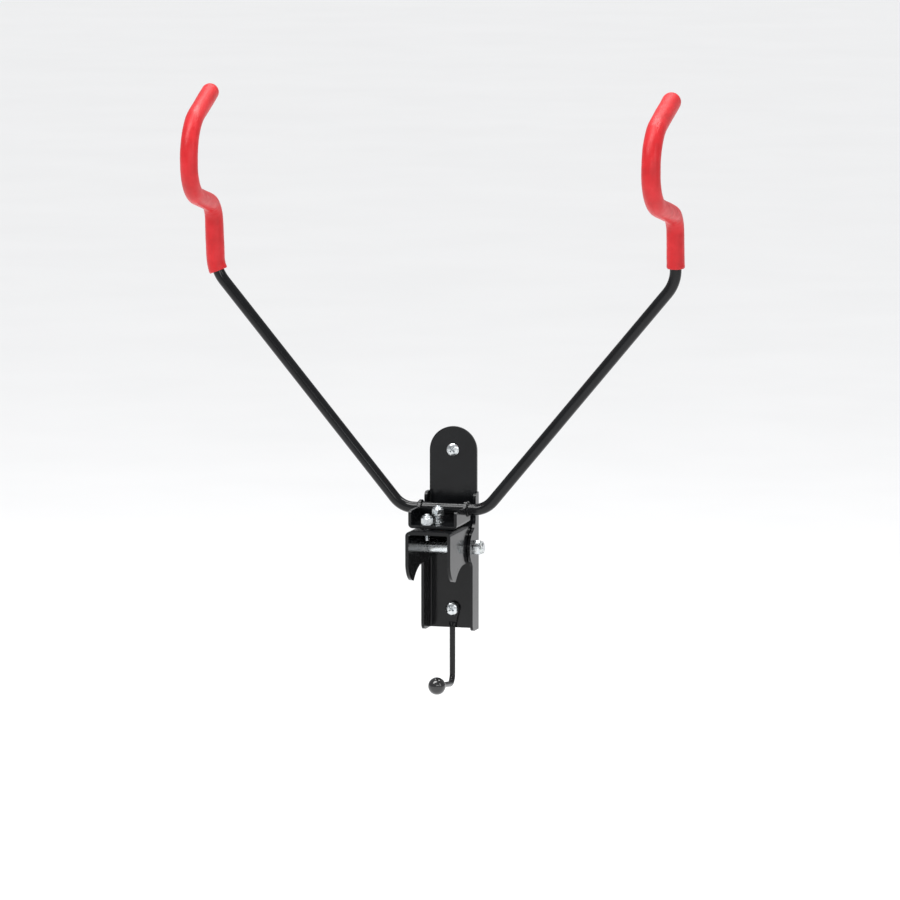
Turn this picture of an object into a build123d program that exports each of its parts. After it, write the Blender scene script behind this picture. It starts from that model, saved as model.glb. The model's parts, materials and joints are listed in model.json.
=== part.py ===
from build123d import *
import os
from math import atan2, degrees, radians, tan

# Folding bicycle wall rack: wall plate, fold bracket, swivel tray and a one-piece arm bar.
#
# Millimetres. +Z is up, -Y points out of the wall into the room, and the wall's face is Y = 0.
# The origin is on the wall's face, halfway between the two wall screws.
# The rack is modelled folded up, with both arms standing flat along the wall.

os.makedirs("parts", exist_ok=True)

# ---------------------------------------------------------------- driving dimensions

# wall plate: a bent channel below a round-topped tab
screw_spacing = 138.0         # between the two wall screws
plate_thickness = 2.5
tab_width = 42.0              # the tab's top is a half circle of this width
tab_rise = 20.0               # tab's top above the upper screw
channel_width = 46.0          # outside, over both flanges
bend_radius = 1.2             # inside radius of the sheet's bends
shoulder_drop = 36.0          # flange tops below the upper screw
bottom_drop = 17.0            # plate's bottom edge below the lower screw
upper_flange_depth = 13.0     # from the wall to the flange's front edge
lower_flange_depth = 23.0
flange_corner_radius = 6.0    # lower front corner
ear_radius = 15.0
ear_blend_radius = 12.0       # above the ear
wall_hole_radius = 2.8

# hinge pin
pin_depth = 17.0              # pin axis to the wall's face
pin_drop = 82.5               # pin axis below the upper screw
pin_radius = 4.0
running_gap = 0.05            # radial, on everything that turns
hinge_nut_flats = 12.0        # across flats
hinge_nut_length = 7.8
hinge_head_length = 5.5
pin_overhang = 0.6            # bolt end past the nut
thrust_washer_thickness = 0.5
thrust_washer_radius = 8.0
side_gap = 0.1                # between a thrust washer and the bracket

# wall screws
screw_thread_radius = 2.5     # over the thread's crests
screw_neck_radius = 1.8       # smooth neck under the head
screw_neck_end = 1.0          # thread's start, past the wall's face
screw_length = 45.0
screw_tip_length = 7.5
screw_head_radius = 5.5
screw_head_height = 3.4
screw_recess_width = 1.5
screw_recess_span = 5.6
screw_recess_depth = 2.2

# accessory hook under the lower screw
wire_radius = 2.5
eye_thickness = 3.0
eye_width = 12.0
flat_width = 6.8              # at the flat part's lower end
flat_drop = 11.5              # flat part's end below the screw
neck_length = 4.5             # from the flat part to the round wire
wire_drop = 66.0              # forward run below the screw
wire_reach = 50.0             # ball centre in front of the hanging wire
wire_rise = 6.0               # ball centre above the forward run's start
wire_bend_radius = 8.0
ball_radius = 7.6
ball_grip = 5.0               # wire inside the ball, from its surface

# fold bracket, seen from the side: out from the wall, and up from the pin
bracket_thickness = 2.8
web_height = 21.5             # web's top above the pin
bracket_reach = 84.0          # front edge to the wall's face
bracket_back = 3.2            # back edge to the wall's face
boss_radius = 11.5            # round the pin
claw_depth = 67.0             # claw's tip to the wall's face
claw_drop = 23.0              # claw's tip below the pin
claw_front_drop = 8.0         # where the straight front edge ends
claw_root_depth = 41.0        # where the claw's inner curve begins
spacer_wall = 1.85            # pivot sleeve between the bracket's sides

# swivel: the tray turns about an upright bolt, and a stud in a slot locks it
swivel_depth = 51.5           # swivel bolt's axis to the wall's face
swivel_radius = 3.0
swivel_limit = 15.0           # degrees each way
lock_x = -6.5                 # lock stud, left of the swivel bolt
lock_offset_depth = 11.5      # and in front of it
lock_radius = 2.5
disc_thickness = 0.8
disc_radius = 8.5
seat_gap = 0.05               # on the faces that slide when the tray swivels
slot_gap = 0.25               # each side of the lock stud
clamp_washer_radius = 5.4
clamp_washer_thickness = 1.2
clamp_nut_flats = 10.0
swivel_nut_height = 5.6
lock_nut_height = 6.6
spring_height = 6.0
spring_radius = 4.3
swivel_bolt_overhang = 1.6
lock_stud_overhang = 1.6
lock_stud_tail = 7.0          # below the web's underside
bolt_head_height = 2.0
bolt_head_radius = 5.4

# tray
tray_width = 43.0             # outside
tray_thickness = 2.5
tray_lip = 1.5                # floor left in front of the curved slot
tray_wall_height = 15.0       # at the front, from the tray's underside
tray_ear_wall = 2.2           # round the bar
tray_back_margin = 0.3        # floor behind the ear

# arm bar, from the centre bar out to the hook's tip
bar_radius = 5.0
bar_depth = 33.0              # straight arms' axis to the wall's face
bar_clearance = 5.35          # bar's underside above the tray's floor
bar_half_length = 37.0        # to the corner with the arm
bar_bend_radius = 22.0
elbow_half_width = 203.6
elbow_height = 235.1          # above the pin
elbow_bend_radius = 32.0
neck_spread = 0.5             # each run from here on starts at the one before it
neck_forward = 5.2
neck_rise = 57.7
neck_bend_radius = 19.5
cradle_reach = 76.3           # forward run, out to the cradle's far side
cradle_low_rise = 16.6
cradle_toe = 2.6              # far side stands this much nearer the middle than the neck
cradle_side = 55.4            # far side's height between its two corners
cradle_low_bend_radius = 31.0
cradle_high_bend_radius = 38.0
tip_return = 64.8             # tip run, back towards the wall
tip_rise = 25.0
tip_toe = 1.0
weld_size = 2.0

# soft sleeves on the hooks
sleeve_wall = 2.65
left_sleeve_start = -1.0      # along the bar, from the elbow's middle
right_sleeve_start = 12.5

# ---------------------------------------------------------------- derived places

upper_screw_z = screw_spacing / 2
lower_screw_z = -screw_spacing / 2
tab_centre_z = upper_screw_z + tab_rise - tab_width / 2
pin_z = upper_screw_z - pin_drop
shoulder_z = upper_screw_z - shoulder_drop
plate_bottom_z = lower_screw_z - bottom_drop

channel_inner_half = channel_width / 2 - plate_thickness
bracket_half = channel_inner_half - thrust_washer_thickness - side_gap
bracket_inner_half = bracket_half - bracket_thickness
pivot_sleeve_radius = pin_radius + running_gap + spacer_wall

web_top = pin_z + web_height
web_bottom = web_top - bracket_thickness
tray_bottom = web_top + disc_thickness + seat_gap
tray_floor = tray_bottom + tray_thickness
lock_depth = swivel_depth + lock_offset_depth
lock_orbit = (lock_x**2 + lock_offset_depth**2) ** 0.5
lock_angle = degrees(atan2(-lock_offset_depth, lock_x))

bar_z = tray_floor + bar_clearance + bar_radius
tray_ear_radius = bar_radius + tray_ear_wall
tray_back = bar_depth - tray_ear_radius - tray_back_margin
tray_front = swivel_depth + lock_orbit + lock_radius + slot_gap + tray_lip
neck_half_width = elbow_half_width + neck_spread
cradle_half_width = neck_half_width - cradle_toe
tip_half_width = neck_half_width - tip_toe
neck_depth = bar_depth + neck_forward
neck_height = elbow_height + neck_rise
cradle_depth = neck_depth + cradle_reach
cradle_low_height = neck_height + cradle_low_rise
cradle_high_height = cradle_low_height + cradle_side
tip_depth = cradle_depth - tip_return
tip_height = cradle_high_height + tip_rise
sleeve_radius = bar_radius + sleeve_wall


def finish(builder, name):
    """Label a finished sub-part and write its STEP file."""
    builder.part.label = name
    export_step(builder.part, f"parts/{name}.step")


# ---------------------------------------------------------------- wall plate

with BuildPart() as wall_plate:
    # bent channel: a U section with rounded bends, as deep as the ears
    channel_depth = pin_depth + ear_radius
    with BuildSketch(Plane.XY.offset(plate_bottom_z)):
        with Locations((0, -channel_depth / 2)):
            RectangleRounded(channel_width, channel_depth, bend_radius + plate_thickness)
        with Locations((0, -channel_depth / 2 - plate_thickness)):
            RectangleRounded(2 * channel_inner_half, channel_depth, bend_radius, mode=Mode.SUBTRACT)
        with Locations((0, -channel_depth)):
            Rectangle(channel_width, channel_depth, mode=Mode.SUBTRACT)
        for side in (-1, 1):
            with Locations((side * (channel_width - plate_thickness) / 2, -channel_depth * 0.75)):
                Rectangle(plate_thickness, channel_depth / 2)
    extrude(amount=shoulder_z - plate_bottom_z)

    # the flanges' side outline, with an ear round the pin
    with BuildSketch(Plane.YZ) as flange:
        with Locations((-upper_flange_depth / 2, (shoulder_z + pin_z) / 2)):
            Rectangle(upper_flange_depth, shoulder_z - pin_z)
        with Locations((-lower_flange_depth / 2, (pin_z + plate_bottom_z) / 2)):
            Rectangle(lower_flange_depth, pin_z - plate_bottom_z)
        with Locations((-pin_depth, pin_z)):
            Circle(ear_radius)
        fillet(flange.vertices().group_by(Axis.Y)[-1].sort_by(Axis.X)[0], upper_flange_depth / 3)
        fillet(flange.vertices().group_by(Axis.Y)[0].sort_by(Axis.X)[0], flange_corner_radius)
        above = flange.vertices().filter_by(
            lambda v: pin_z < v.Y < pin_z + ear_radius and v.X < -plate_thickness
        )
        fillet(above, ear_blend_radius)
        below = flange.vertices().filter_by(
            lambda v: pin_z - ear_radius < v.Y < pin_z and v.X < -plate_thickness
        )
        fillet(below, ear_radius / 3)
    extrude(amount=channel_width, both=True, mode=Mode.INTERSECT)

    # round-topped tab
    with BuildSketch(Plane.XZ):
        with Locations((0, tab_centre_z)):
            Circle(tab_width / 2)
        with Locations((0, (tab_centre_z + shoulder_z) / 2 - plate_thickness)):
            Rectangle(tab_width, tab_centre_z - shoulder_z + 2 * plate_thickness)
    extrude(amount=plate_thickness)

    # screw holes and pin holes
    with BuildSketch(Plane.XZ):
        with Locations((0, upper_screw_z), (0, lower_screw_z)):
            Circle(wall_hole_radius)
    extrude(amount=plate_thickness, mode=Mode.SUBTRACT)
    with BuildSketch(Plane.YZ):
        with Locations((-pin_depth, pin_z)):
            Circle(pin_radius + running_gap)
    extrude(amount=channel_width, both=True, mode=Mode.SUBTRACT)

finish(wall_plate, "wall_plate")

# ---------------------------------------------------------------- wall screws

with BuildPart() as wall_screws:
    seats = ((plate_thickness, upper_screw_z), (plate_thickness + eye_thickness, lower_screw_z))
    for seat_depth, screw_z in seats:
        thread_end = screw_length - screw_tip_length - seat_depth
        with BuildSketch(Plane.XZ.offset(seat_depth)):
            with Locations((0, screw_z)):
                Circle(screw_neck_radius)
        extrude(amount=-seat_depth - screw_neck_end)
        with BuildSketch(Plane.XZ.offset(-screw_neck_end)):
            with Locations((0, screw_z)):
                Circle(screw_thread_radius)
        extrude(amount=screw_neck_end - thread_end)
        with Locations((0, thread_end + screw_tip_length / 2, screw_z)):
            Cone(screw_thread_radius, screw_thread_radius / 10, screw_tip_length, rotation=(-90, 0, 0))
        # domed pan head with a cross recess
        with BuildSketch(Plane.XZ.offset(seat_depth)):
            with Locations((0, screw_z)):
                Circle(screw_head_radius)
        extrude(amount=screw_head_height)
        head_rim = wall_screws.edges(Select.LAST).sort_by(Axis.Y)[0]
        fillet(head_rim, 0.7 * screw_head_height)
        with BuildSketch(Plane.XZ.offset(seat_depth + screw_head_height)):
            with Locations((0, screw_z)):
                Rectangle(screw_recess_span, screw_recess_width)
                Rectangle(screw_recess_width, screw_recess_span)
        extrude(amount=-screw_recess_depth, mode=Mode.SUBTRACT)

finish(wall_screws, "wall_screws")

# ---------------------------------------------------------------- hinge bolt, nut and washers

with BuildPart() as pivot_bolt:
    shank_end = channel_width / 2 + hinge_nut_length + pin_overhang
    with BuildSketch(Plane.YZ.offset(-channel_width / 2)):
        with Locations((-pin_depth, pin_z)):
            Circle(pin_radius)
    extrude(amount=channel_width / 2 + shank_end)
    chamfer(pivot_bolt.edges().sort_by(Axis.X)[-1], pin_radius / 6)
    with BuildSketch(Plane.YZ.offset(-channel_width / 2)):
        with Locations((-pin_depth, pin_z)):
            RegularPolygon(hinge_nut_flats / 2, 6, major_radius=False)
    extrude(amount=-hinge_head_length)

finish(pivot_bolt, "pivot_bolt")

with BuildPart() as pivot_nut:
    collar_length = hinge_nut_length / 3
    with BuildSketch(Plane.YZ.offset(channel_width / 2)):
        with Locations((-pin_depth, pin_z)):
            RegularPolygon(hinge_nut_flats / 2, 6, major_radius=False)
    extrude(amount=hinge_nut_length - collar_length)
    with BuildSketch(Plane.YZ.offset(channel_width / 2 + hinge_nut_length - collar_length)):
        with Locations((-pin_depth, pin_z)):
            Circle(hinge_nut_flats / 2)
    extrude(amount=collar_length)
    fillet(pivot_nut.edges().filter_by(GeomType.CIRCLE).sort_by(Axis.X)[-1], collar_length / 3)
    with BuildSketch(Plane.YZ):
        with Locations((-pin_depth, pin_z)):
            Circle(pin_radius)
    extrude(amount=channel_width, mode=Mode.SUBTRACT)

finish(pivot_nut, "pivot_nut")

with BuildPart() as thrust_washers:
    for side in (-1, 1):
        with BuildSketch(Plane.YZ.offset(side * channel_inner_half)):
            with Locations((-pin_depth, pin_z)):
                Circle(thrust_washer_radius)
                Circle(pin_radius + running_gap, mode=Mode.SUBTRACT)
        extrude(amount=-side * thrust_washer_thickness)

finish(thrust_washers, "thrust_washers")

# ---------------------------------------------------------------- accessory hook and its ball

wire_y = -(plate_thickness + wire_radius + running_gap)
wire_low_z = lower_screw_z - wire_drop
ball_centre = Vector(0, wire_y - wire_reach, wire_low_z + wire_rise)
wire_corner = Vector(0, wire_y, wire_low_z)
wire_end = ball_centre + (wire_corner - ball_centre).normalized() * (ball_radius - ball_grip)

with BuildPart() as accessory_hook:
    # flattened eye under the lower screw
    flat_end_z = lower_screw_z - flat_drop
    with BuildSketch(Plane.XZ.offset(plate_thickness)):
        with Locations((0, lower_screw_z)):
            Circle(eye_width / 2)
        with BuildLine():
            Polyline(
                (-eye_width / 2, lower_screw_z),
                (-flat_width / 2, flat_end_z),
                (flat_width / 2, flat_end_z),
                (eye_width / 2, lower_screw_z),
                close=True,
            )
        make_face()
        with Locations((0, lower_screw_z)):
            Circle(wall_hole_radius, mode=Mode.SUBTRACT)
    extrude(amount=eye_thickness)
    # the flat narrows into the round wire
    with BuildSketch(Plane.XY.offset(flat_end_z)):
        with Locations((0, -plate_thickness - eye_thickness / 2)):
            Rectangle(flat_width, eye_thickness)
    with BuildSketch(Plane.XY.offset(flat_end_z - neck_length)):
        with Locations((0, wire_y)):
            Circle(wire_radius)
    loft()
    # round wire: down, then out into the room
    with BuildLine():
        FilletPolyline(
            (0, wire_y, flat_end_z - neck_length), wire_corner, wire_end, radius=wire_bend_radius
        )
    with BuildSketch(Plane.XY.offset(flat_end_z - neck_length)):
        with Locations((0, wire_y)):
            Circle(wire_radius)
    sweep()

finish(accessory_hook, "accessory_hook")

with BuildPart() as accessory_ball:
    with Locations(ball_centre):
        Sphere(ball_radius)
    add(accessory_hook.part, mode=Mode.SUBTRACT)

finish(accessory_ball, "accessory_ball")

# ---------------------------------------------------------------- fold bracket

with BuildPart() as fold_bracket:
    # inverted U section, wide enough in height for the claws
    section_height = web_height + claw_drop + bracket_thickness
    outer_bend = bend_radius + bracket_thickness
    with BuildSketch(Plane.XZ.offset(bracket_back)):
        with Locations((0, web_top - section_height / 2)):
            RectangleRounded(2 * bracket_half, section_height, outer_bend)
        with Locations((0, web_top - bracket_thickness - section_height / 2)):
            RectangleRounded(2 * bracket_inner_half, section_height, bend_radius, mode=Mode.SUBTRACT)
    extrude(amount=bracket_reach - bracket_back)

    # side outline: boss round the pin, straight front edge and a claw below it
    claw_front = (-bracket_reach, pin_z - claw_front_drop)
    claw_tip = (-claw_depth, pin_z - claw_drop)
    claw_root = (-claw_root_depth, pin_z - boss_radius)
    boss_bottom = (-pin_depth, pin_z - boss_radius)
    boss_back = (-pin_depth + boss_radius, pin_z)
    with BuildSketch(Plane.YZ) as side_outline:
        with BuildLine():
            Polyline(
                boss_back,
                (-bracket_back, pin_z + boss_radius),
                (-bracket_back, web_top),
                (-bracket_reach, web_top),
                claw_front,
            )
            SagittaArc(claw_front, claw_tip, (claw_front_drop - claw_drop) / 4)
            SagittaArc(claw_tip, claw_root, (claw_drop - boss_radius) / 4)
            Line(claw_root, boss_bottom)
            RadiusArc(boss_bottom, boss_back, -boss_radius)
        make_face()
        tip_corner = side_outline.vertices().sort_by(Axis.Y)[0]
        fillet(tip_corner, bracket_thickness / 2)
    extrude(amount=channel_width, both=True, mode=Mode.INTERSECT)

    # holes for the hinge bolt, the swivel bolt and the lock stud
    with BuildSketch(Plane.YZ):
        with Locations((-pin_depth, pin_z)):
            Circle(pin_radius + running_gap)
    extrude(amount=channel_width, both=True, mode=Mode.SUBTRACT)
    with BuildSketch(Plane.XY.offset(web_bottom)):
        with Locations((0, -swivel_depth)):
            Circle(swivel_radius)
        with Locations((lock_x, -lock_depth)):
            Circle(lock_radius)
    extrude(amount=bracket_thickness, mode=Mode.SUBTRACT)

finish(fold_bracket, "fold_bracket")

with BuildPart() as pivot_sleeve:
    with BuildSketch(Plane.YZ.offset(-bracket_inner_half)):
        with Locations((-pin_depth, pin_z)):
            Circle(pivot_sleeve_radius)
            Circle(pin_radius + running_gap, mode=Mode.SUBTRACT)
    extrude(amount=2 * bracket_inner_half)

finish(pivot_sleeve, "pivot_sleeve")

# ---------------------------------------------------------------- swivel bolt and lock stud

clamp_base = tray_floor + seat_gap
spring_base = clamp_base + clamp_washer_thickness
upper_washer_base = spring_base + spring_height
swivel_nut_base = upper_washer_base + clamp_washer_thickness
swivel_top = swivel_nut_base + swivel_nut_height + swivel_bolt_overhang
lock_nut_base = clamp_base + clamp_washer_thickness
lock_top = lock_nut_base + lock_nut_height + lock_stud_overhang

with BuildPart() as swivel_bolt:
    # low domed head under the web
    with BuildSketch(Plane.XY.offset(web_bottom)):
        with Locations((0, -swivel_depth)):
            Circle(bolt_head_radius)
    extrude(amount=-bolt_head_height)
    fillet(swivel_bolt.edges().sort_by(Axis.Z)[0], 0.7 * bolt_head_height)
    with BuildSketch(Plane.XY.offset(web_bottom)):
        with Locations((0, -swivel_depth)):
            Circle(swivel_radius)
    extrude(amount=swivel_top - web_bottom)
    chamfer(swivel_bolt.edges().sort_by(Axis.Z)[-1], swivel_radius / 6)

finish(swivel_bolt, "swivel_bolt")

with BuildPart() as friction_disc:
    with BuildSketch(Plane.XY.offset(web_top)):
        with Locations((0, -swivel_depth)):
            Circle(disc_radius)
            Circle(swivel_radius, mode=Mode.SUBTRACT)
    extrude(amount=disc_thickness)

finish(friction_disc, "friction_disc")

with BuildPart() as swivel_washers:
    for washer_base in (clamp_base, upper_washer_base):
        with BuildSketch(Plane.XY.offset(washer_base)):
            with Locations((0, -swivel_depth)):
                Circle(clamp_washer_radius)
                Circle(swivel_radius, mode=Mode.SUBTRACT)
        extrude(amount=clamp_washer_thickness)

finish(swivel_washers, "swivel_washers")

with BuildPart() as swivel_spring:
    # coned discs, alternately cup up and cup down
    disc_count = 4
    disc_pitch = spring_height / disc_count
    disc_gap = 0.02
    for index in range(disc_count):
        low = spring_base + index * disc_pitch + disc_gap
        high = low + disc_pitch - 2 * disc_gap
        middle = (low + high) / 2
        inner_low, inner_high = (low, middle) if index % 2 == 0 else (middle, high)
        outer_low, outer_high = (middle, high) if index % 2 == 0 else (low, middle)
        with BuildSketch(Plane.XZ.offset(swivel_depth)):
            with BuildLine():
                Polyline(
                    (swivel_radius + running_gap, inner_low),
                    (spring_radius, outer_low),
                    (spring_radius, outer_high),
                    (swivel_radius + running_gap, inner_high),
                    close=True,
                )
            make_face()
        revolve(axis=Axis((0, -swivel_depth, 0), (0, 0, 1)))

finish(swivel_spring, "swivel_spring")


def collar_nut(centre_x, centre_y, base_z, height, bore_radius):
    """A hexagon nut with a round nylon collar on top."""
    collar = height / 4
    with BuildPart() as nut:
        with BuildSketch(Plane.XY.offset(base_z)):
            with Locations((centre_x, centre_y)):
                RegularPolygon(clamp_nut_flats / 2, 6, major_radius=False)
        extrude(amount=height - collar)
        with BuildSketch(Plane.XY.offset(base_z + height - collar)):
            with Locations((centre_x, centre_y)):
                Circle(clamp_nut_flats / 2 - collar / 4)
        extrude(amount=collar)
        fillet(nut.edges().filter_by(GeomType.CIRCLE).sort_by(Axis.Z)[-1], collar / 3)
        with BuildSketch(Plane.XY.offset(base_z)):
            with Locations((centre_x, centre_y)):
                Circle(bore_radius)
        extrude(amount=height, mode=Mode.SUBTRACT)
    return nut


swivel_nut = collar_nut(0, -swivel_depth, swivel_nut_base, swivel_nut_height, swivel_radius)
finish(swivel_nut, "swivel_nut")

with BuildPart() as lock_stud:
    with BuildSketch(Plane.XY.offset(web_bottom - lock_stud_tail)):
        with Locations((lock_x, -lock_depth)):
            Circle(lock_radius)
    extrude(amount=lock_top - web_bottom + lock_stud_tail)
    stud_rims = lock_stud.edges().filter_by(GeomType.CIRCLE)
    chamfer(stud_rims, lock_radius / 6)

finish(lock_stud, "lock_stud")

with BuildPart() as lock_washer:
    with BuildSketch(Plane.XY.offset(clamp_base)):
        with Locations((lock_x, -lock_depth)):
            Circle(clamp_washer_radius)
            Circle(lock_radius, mode=Mode.SUBTRACT)
    extrude(amount=clamp_washer_thickness)

finish(lock_washer, "lock_washer")

lock_nut = collar_nut(lock_x, -lock_depth, lock_nut_base, lock_nut_height, lock_radius)

finish(lock_nut, "lock_nut")

# ---------------------------------------------------------------- swivel tray

with BuildPart() as swivel_tray:
    # upright U section, tall enough for the ears
    ear_top = bar_z + tray_ear_radius
    section_height = ear_top - tray_bottom + tray_thickness
    with BuildSketch(Plane.XZ.offset(tray_back)):
        with Locations((0, tray_bottom + section_height / 2)):
            RectangleRounded(tray_width, section_height, bend_radius + tray_thickness)
        with Locations((0, tray_floor + section_height / 2)):
            RectangleRounded(tray_width - 2 * tray_thickness, section_height, bend_radius,
                             mode=Mode.SUBTRACT)
    extrude(amount=tray_front - tray_back)

    # side outline: low walls in front, an ear round the bar at the back
    with BuildSketch(Plane.YZ) as tray_outline:
        with Locations((-(tray_front + tray_back) / 2, tray_bottom + tray_wall_height / 2)):
            Rectangle(tray_front - tray_back, tray_wall_height)
        with Locations((-bar_depth, bar_z)):
            Circle(tray_ear_radius)
        crossing = tray_outline.vertices().filter_by(
            lambda v: abs(v.Y - tray_bottom - tray_wall_height) < 0.01
            and -bar_depth - tray_ear_radius - 0.01 < v.X < -bar_depth
        )
        fillet(crossing, tray_ear_radius / 2)
        front_corner = tray_outline.vertices().group_by(Axis.X)[0].sort_by(Axis.Y)[-1]
        fillet(front_corner, tray_thickness)
    extrude(amount=tray_width, both=True, mode=Mode.INTERSECT)

    # bar holes, swivel hole and the lock stud's curved slot
    with BuildSketch(Plane.YZ):
        with Locations((-bar_depth, bar_z)):
            Circle(bar_radius)
    extrude(amount=tray_width, both=True, mode=Mode.SUBTRACT)
    with BuildSketch(Plane.XY.offset(tray_bottom)):
        with Locations((0, -swivel_depth)):
            Circle(swivel_radius + running_gap)
        with BuildLine():
            slot_line = CenterArc(
                (0, -swivel_depth), lock_orbit, lock_angle - swivel_limit, 2 * swivel_limit
            )
        SlotArc(slot_line, 2 * (lock_radius + slot_gap))
    extrude(amount=tray_thickness, mode=Mode.SUBTRACT)

finish(swivel_tray, "swivel_tray")

# ---------------------------------------------------------------- arm bar


def hook_points(side):
    """Corners of one arm, from its elbow to the hook's tip. side is -1 for left, 1 for right."""
    return [
        (side * elbow_half_width, -bar_depth, pin_z + elbow_height),
        (side * neck_half_width, -neck_depth, pin_z + neck_height),
        (side * cradle_half_width, -cradle_depth, pin_z + cradle_low_height),
        (side * cradle_half_width, -cradle_depth, pin_z + cradle_high_height),
        (side * tip_half_width, -tip_depth, pin_z + tip_height),
    ]


def bar_corner(side):
    """Corner between the centre bar and one arm."""
    return (side * bar_half_length, -bar_depth, bar_z)


hook_radii = [
    elbow_bend_radius, neck_bend_radius, cradle_low_bend_radius, cradle_high_bend_radius
]

with BuildPart() as arm_rod:
    with BuildLine() as bar_line:
        FilletPolyline(
            *reversed(hook_points(-1)), bar_corner(-1), bar_corner(1), *hook_points(1),
            radius=[*reversed(hook_radii), bar_bend_radius, bar_bend_radius, *hook_radii],
        )
    with BuildSketch(Plane(origin=bar_line.line @ 0, z_dir=bar_line.line % 0)):
        Circle(bar_radius)
    sweep()

finish(arm_rod, "arm_rod")

with BuildPart() as rod_welds:
    for side in (-1, 1):
        ear_face = side * tray_width / 2
        with BuildSketch(Plane.XZ.offset(bar_depth)):
            with BuildLine():
                Polyline(
                    (ear_face, bar_z + bar_radius),
                    (ear_face, bar_z + bar_radius + weld_size),
                    (ear_face + side * weld_size, bar_z + bar_radius),
                    close=True,
                )
            make_face()
        revolve(axis=Axis((0, -bar_depth, bar_z), (1, 0, 0)))

finish(rod_welds, "rod_welds")

# ---------------------------------------------------------------- soft sleeves


def sleeve_path(side, start):
    """The bar's line from `start` past the elbow's middle to the hook's tip."""
    corner, elbow, neck = Vector(bar_corner(side)), *map(Vector, hook_points(side)[:2])
    turn = radians((elbow - corner).get_angle(neck - elbow))
    lead_in = (elbow - corner).length / 2
    elbow_middle = lead_in - elbow_bend_radius * tan(turn / 2) + elbow_bend_radius * turn / 2
    with BuildLine() as line:
        FilletPolyline((corner + elbow) / 2, *hook_points(side), radius=hook_radii)
    wire = line.wire()
    return wire.trim((elbow_middle + start) / wire.length, 1.0)


for side, name, start in ((-1, "left_sleeve", left_sleeve_start), (1, "right_sleeve", right_sleeve_start)):
    path = sleeve_path(side, start)
    with BuildPart() as sleeve:
        with BuildSketch(Plane(origin=path @ 0, z_dir=path % 0)):
            Circle(sleeve_radius)
        sweep(path=path)
        with Locations(path @ 1):
            Sphere(sleeve_radius)
        add(arm_rod.part, mode=Mode.SUBTRACT)
    finish(sleeve, name)
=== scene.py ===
import json
import math
import bpy
import bmesh
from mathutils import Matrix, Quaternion, Vector, noise


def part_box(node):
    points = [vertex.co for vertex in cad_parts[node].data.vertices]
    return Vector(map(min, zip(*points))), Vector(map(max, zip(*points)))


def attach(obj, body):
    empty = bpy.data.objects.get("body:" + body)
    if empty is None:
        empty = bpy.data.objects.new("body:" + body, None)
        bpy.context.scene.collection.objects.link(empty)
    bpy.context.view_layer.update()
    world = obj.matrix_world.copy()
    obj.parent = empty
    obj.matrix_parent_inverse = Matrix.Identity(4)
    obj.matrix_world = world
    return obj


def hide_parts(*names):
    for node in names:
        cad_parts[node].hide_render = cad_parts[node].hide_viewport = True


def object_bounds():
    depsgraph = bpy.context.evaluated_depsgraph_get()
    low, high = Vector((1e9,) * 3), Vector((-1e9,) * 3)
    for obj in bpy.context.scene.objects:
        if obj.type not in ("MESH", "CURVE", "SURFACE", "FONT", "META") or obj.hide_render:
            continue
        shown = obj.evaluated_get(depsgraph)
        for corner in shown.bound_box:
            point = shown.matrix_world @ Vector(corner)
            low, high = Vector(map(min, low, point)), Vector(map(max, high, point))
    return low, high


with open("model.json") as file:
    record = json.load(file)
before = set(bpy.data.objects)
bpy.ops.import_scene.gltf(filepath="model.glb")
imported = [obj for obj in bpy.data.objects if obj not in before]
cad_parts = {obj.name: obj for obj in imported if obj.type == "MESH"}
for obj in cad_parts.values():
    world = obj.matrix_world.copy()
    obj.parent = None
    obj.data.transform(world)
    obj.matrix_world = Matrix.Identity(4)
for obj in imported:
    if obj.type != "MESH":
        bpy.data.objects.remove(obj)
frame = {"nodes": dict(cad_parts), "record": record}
cad_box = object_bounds()

# ---------------------------------------------------------------- sizes, in metres

PLATE_THICKNESS = 0.0025
EYE_THICKNESS = 0.003
BRACKET_THICKNESS = 0.0028
SCREW_LENGTH = 0.045
SCREW_TIP = 0.0075
SCREW_THREAD_RADIUS = 0.0025
SCREW_PITCH = 0.0022
SCREW_NECK_RADIUS = 0.0018
SCREW_NECK_END = 0.001
SCREW_HEAD_RADIUS = 0.0055
SCREW_HEAD_HEIGHT = 0.0034
RECESS_HALF_WIDTH = 0.00075
RECESS_HALF_SPAN = 0.0028
RECESS_DEPTH = 0.0022

PIN_RADIUS, PIN_PITCH, PIN_THREAD_DEPTH = 0.004, 0.00125, 0.0007
PIN_THREAD_LENGTH = 0.012
SWIVEL_RADIUS, SWIVEL_PITCH, SWIVEL_THREAD_DEPTH = 0.003, 0.001, 0.00055
SWIVEL_THREAD_LENGTH = 0.0085
LOCK_RADIUS, LOCK_PITCH = 0.0025, 0.0008
BOLT_CHAMFER = 0.0005
THREAD_INSET = 0.00003        # keeps crests inside the bolt's CAD surface
BORE_GAP = 0.00004            # between a nut and its bolt
CORNER_INSET = 0.00006        # worn hexagon corners
BALL_RADIUS = 0.0076
WIRE_RADIUS = 0.0025
WELD_SIZE = 0.0013

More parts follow.
